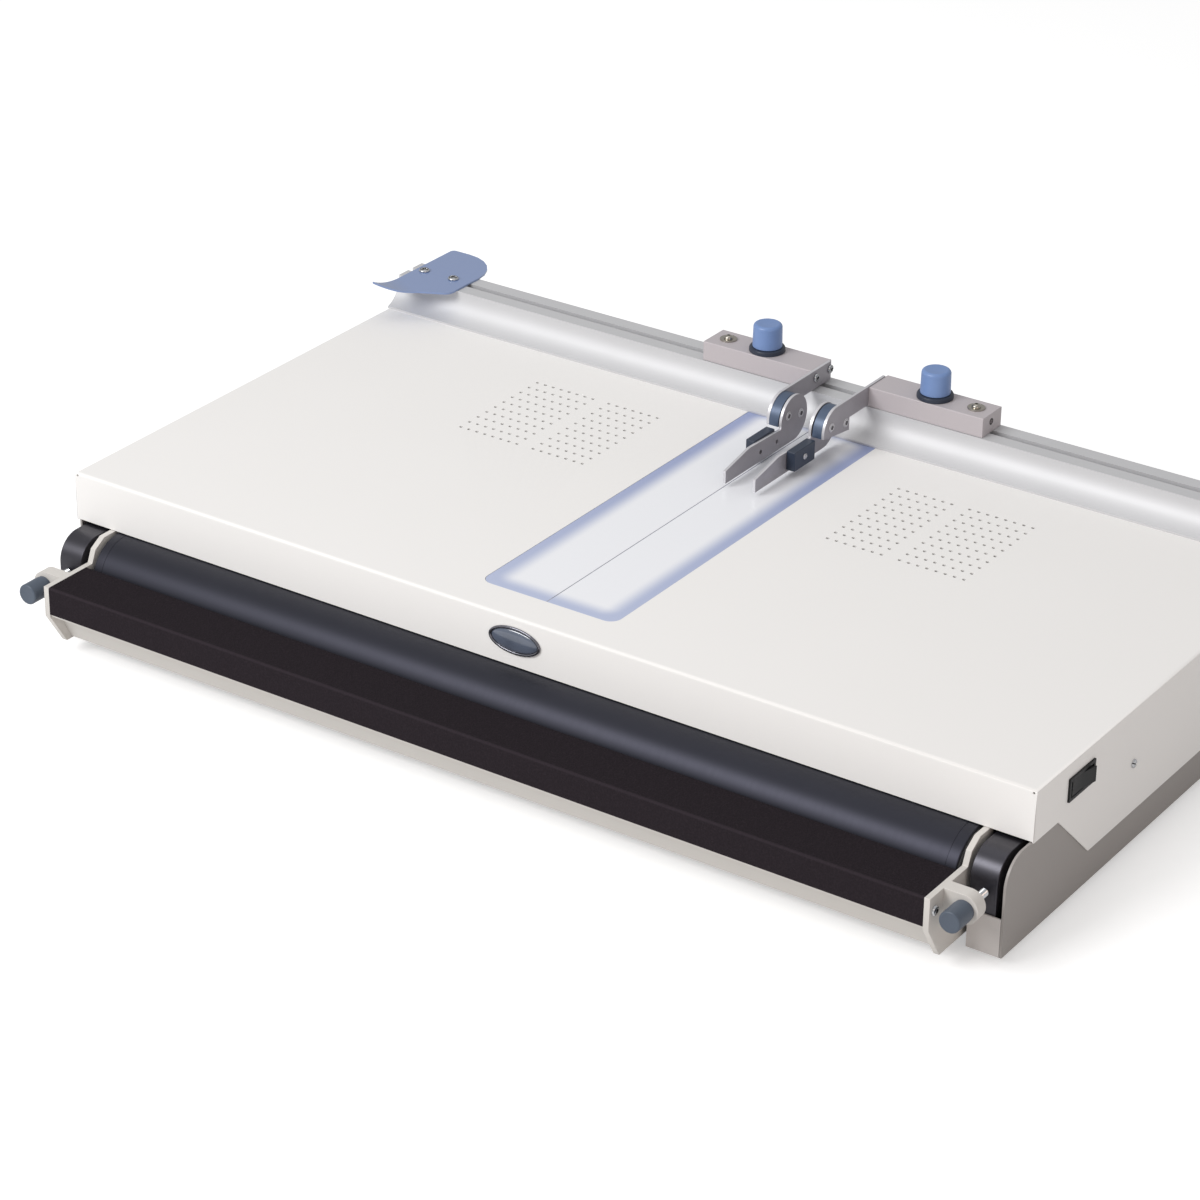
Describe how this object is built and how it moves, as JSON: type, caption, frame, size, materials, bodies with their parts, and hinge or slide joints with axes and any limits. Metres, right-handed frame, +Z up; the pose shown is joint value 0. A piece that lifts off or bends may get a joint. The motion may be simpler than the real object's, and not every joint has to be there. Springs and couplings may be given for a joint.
{
  "type": "case making machine",
  "caption": "Desktop case making machine: lit table, driven rubber roller with a sprung foam nip bar, and a fence rail with sliding carriages and lifting spine fingers.",
  "frame": {"origin": "centre of the footprint, on the desk that the feet stand on", "axes": "+Z up, +Y from the roller at the front to the fence rail at the back, +X to the operator's right"},
  "size_m": [1.0878, 0.7226, 0.2383],
  "materials": {
    "cover_white": "fine-textured satin enamel",
    "base_grey": "satin enamel",
    "lip_grey": "satin enamel",
    "housing_black": "moulded, glossy",
    "switch_black": "moulded, fine grain",
    "foot_black": "moulded rubber",
    "roller_rubber": "ground rubber, satin",
    "foam": "open-cell foam",
    "nip_grey": "satin enamel",
    "zinc": "bright zinc plate",
    "steel": "cold-rolled",
    "arm_steel": "brushed, clear coat",
    "aluminium": "satin anodised",
    "block_grey": "satin enamel",
    "clamp_blue": "moulded grip",
    "gap_blue": "moulded grip",
    "hub_blue": "anodised slate blue",
    "slate": "moulded",
    "wing_blue": "semi-gloss enamel",
    "window_milk": "opal acrylic",
    "badge_dark": "domed, glossy",
    "belt_black": "belt rubber",
    "lamp_white": "coated glass"
  },
  "bodies": {
    "root": {"base_pan": "lip_grey", "left_side_plate": "base_grey", "right_side_plate": "base_grey", "rear_panel": "base_grey", "cross_rails": "steel", "top_cover": "cover_white", "cover_screws": "zinc", "base_feet": "foot_black", "light_window": "window_milk", "light_box": "lip_grey", "light_tubes": "lamp_white", "tube_holders": "switch_black", "front_badge": "badge_dark", "fence_rail": "aluminium", "rail_fixings": "zinc", "guide_wing": "wing_blue", "left_roller_housing": "housing_black", "right_roller_housing": "housing_black", "bearing_blocks": "steel", "roller_bearings": "steel", "drive_motor": "steel", "motor_bracket": "zinc", "drive_belt": "belt_black", "power_supply": "zinc", "power_leads": "belt_black", "power_inlet": "switch_black", "switch_housing": "switch_black", "nip_pivot_shaft": "zinc", "nip_springs": "steel"},
    "power_rocker": {"switch_rocker": "switch_black"},
    "roller": {"roller_sleeve": "roller_rubber", "roller_core": "aluminium", "roller_shafts": "steel", "roller_pulley": "aluminium"},
    "motor_shaft": {"motor_pulley": "aluminium"},
    "nip_bar": {"nip_beam": "nip_grey", "nip_foam": "foam", "left_nip_plate": "nip_grey", "right_nip_plate": "nip_grey", "nip_screws": "zinc"},
    "left_gap_screw": {"left_gap_screw": "zinc"},
    "left_gap_knob": {"left_gap_knob": "gap_blue"},
    "left_carriage": {"left_carriage_block": "block_grey", "left_carriage_fixings": "zinc", "left_arm_bracket": "arm_steel", "left_pivot_hub": "hub_blue"},
    "left_clamp_knob": {"left_clamp_knob": "clamp_blue"},
    "left_finger": {"left_finger": "arm_steel", "left_finger_hub": "hub_blue", "left_finger_block": "slate"},
    "right_gap_screw": {"right_gap_screw": "zinc"},
    "right_gap_knob": {"right_gap_knob": "gap_blue"},
    "right_carriage": {"right_carriage_block": "block_grey", "right_carriage_fixings": "zinc", "right_arm_bracket": "arm_steel", "right_pivot_hub": "hub_blue"},
    "right_clamp_knob": {"right_clamp_knob": "clamp_blue"},
    "right_finger": {"right_finger": "arm_steel", "right_finger_hub": "hub_blue", "right_finger_block": "slate"}
  },
  "joints": [
    {"name": "roller_spin", "type": "hinge", "parent": "root", "child": "roller", "pos_m": [0, -0.26025, 0.063], "axis": [1, 0, 0], "continuous": true},
    {"name": "motor_spin", "type": "hinge", "parent": "root", "child": "motor_shaft", "pos_m": [-0.5, -0.14875, 0.06], "axis": [1, 0, 0], "continuous": true},
    {"name": "nip_bar_tilt", "type": "hinge", "parent": "root", "child": "nip_bar", "pos_m": [0, -0.22375, 0.025], "axis": [1, 0, 0], "range_deg": [0, 6], "stiffness_Nm_per_rad": 30, "springref_deg": -20.05, "deforming": ["nip_springs"]},
    {"name": "power_rocker_tilt", "type": "hinge", "parent": "root", "child": "power_rocker", "pos_m": [0.536, -0.17725, 0.1275], "axis": [0, 0, 1], "range_deg": [0, 12]},
    {"name": "left_gap_slide", "type": "slide", "parent": "nip_bar", "child": "left_gap_screw", "axis": [0, -1, 0], "range_m": [0, 0.005]},
    {"name": "left_gap_knob_turn", "type": "hinge", "parent": "left_gap_screw", "child": "left_gap_knob", "pos_m": [-0.5175, -0.34875, 0.0675], "axis": [0, -1, 0], "range_deg": [0, 1440]},
    {"name": "left_carriage_slide", "type": "slide", "parent": "root", "child": "left_carriage", "axis": [1, 0, 0], "range_m": [-0.3, 0.015]},
    {"name": "left_clamp_knob_turn", "type": "hinge", "parent": "left_carriage", "child": "left_clamp_knob", "pos_m": [-0.08075, 0.29375, 0.225], "axis": [0, 0, 1], "range_deg": [0, 360]},
    {"name": "left_finger_lift", "type": "hinge", "parent": "left_carriage", "child": "left_finger", "pos_m": [0, 0.21325, 0.184], "axis": [-1, 0, 0], "range_deg": [0, 100]},
    {"name": "right_gap_slide", "type": "slide", "parent": "nip_bar", "child": "right_gap_screw", "axis": [0, -1, 0], "range_m": [0, 0.005]},
    {"name": "right_gap_knob_turn", "type": "hinge", "parent": "right_gap_screw", "child": "right_gap_knob", "pos_m": [0.5175, -0.34875, 0.0675], "axis": [0, -1, 0], "range_deg": [0, 1440]},
    {"name": "right_carriage_slide", "type": "slide", "parent": "root", "child": "right_carriage", "axis": [1, 0, 0], "range_m": [-0.015, 0.345]},
    {"name": "right_clamp_knob_turn", "type": "hinge", "parent": "right_carriage", "child": "right_clamp_knob", "pos_m": [0.11825, 0.29375, 0.225], "axis": [0, 0, 1], "range_deg": [0, 360]},
    {"name": "right_finger_lift", "type": "hinge", "parent": "right_carriage", "child": "right_finger", "pos_m": [0.0375, 0.21325, 0.184], "axis": [-1, 0, 0], "range_deg": [0, 100]}
  ],
  "couplings": [
    {"joint": "motor_spin", "follows": "roller_spin", "ratio": 2},
    {"joint": "left_gap_knob_turn", "follows": "left_gap_slide", "rad_per_m": 5026.5},
    {"joint": "right_gap_knob_turn", "follows": "right_gap_slide", "rad_per_m": 5026.5}
  ]
}
